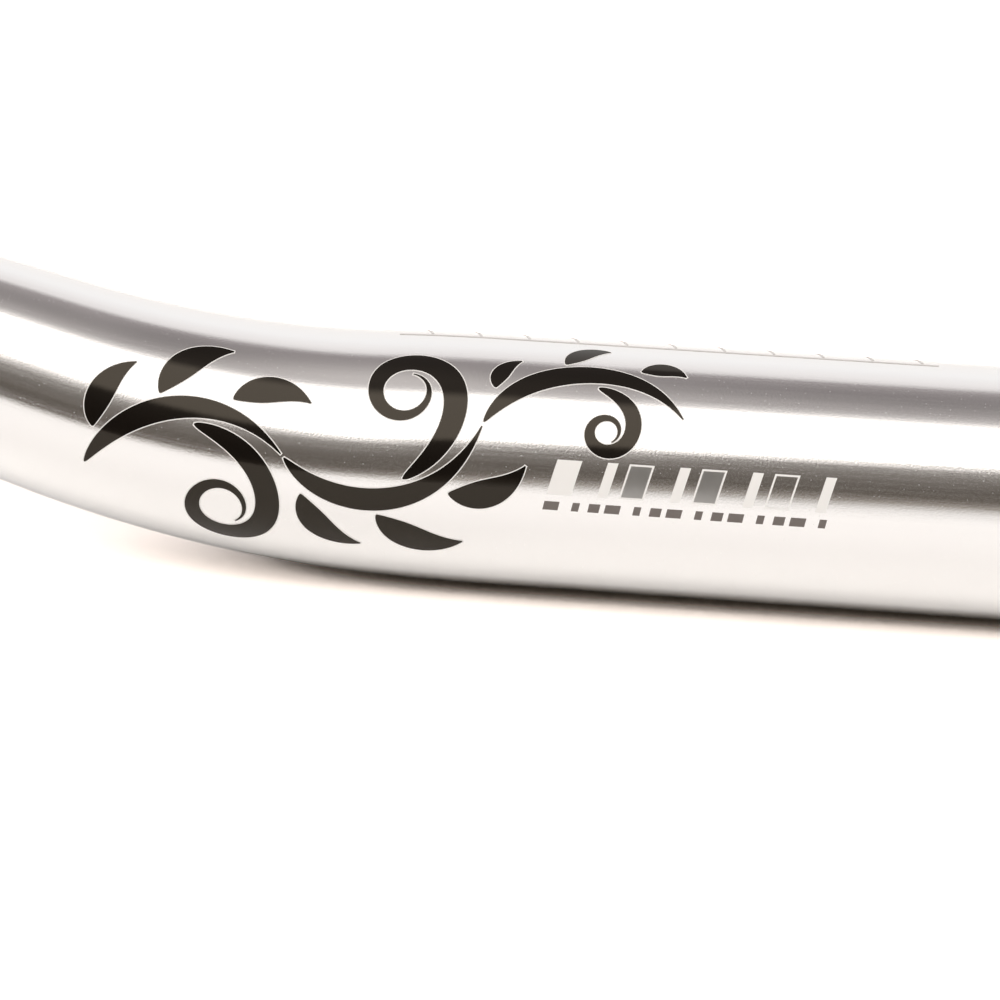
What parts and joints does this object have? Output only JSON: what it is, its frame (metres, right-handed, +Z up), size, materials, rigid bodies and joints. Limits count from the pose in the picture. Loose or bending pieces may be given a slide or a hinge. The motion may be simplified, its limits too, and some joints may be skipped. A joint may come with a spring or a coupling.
{
  "type": "riser handlebar",
  "caption": "Riser handlebar: a hollow, butted and tapered aluminium tube with a straight clamp zone, low rise and swept grip zones.",
  "frame": {"origin": "centre of the stem clamp zone, on its axis", "axes": "+X along the clamp zone to the rider's right, +Y to the rear, +Z up, so the prints on the front of the other half face -Y"},
  "size_m": [0.8036, 0.0602, 0.0688],
  "materials": {
    "bare_aluminium": "fine brushed and clear anodised, satin with long bright reflections",
    "black_ink": "gloss black printed ink with a fine pale edge",
    "silver_ink": "gloss silver white printed ink",
    "grey_ink": "warm grey printed ink",
    "grey_line": "thin grey printed line"
  },
  "bodies": {
    "root": {"handlebar": "bare_aluminium", "scroll_print": "black_ink", "stripe_print": "silver_ink", "dash_print": "grey_ink", "top_print": "grey_line"}
  },
  "joints": []
}
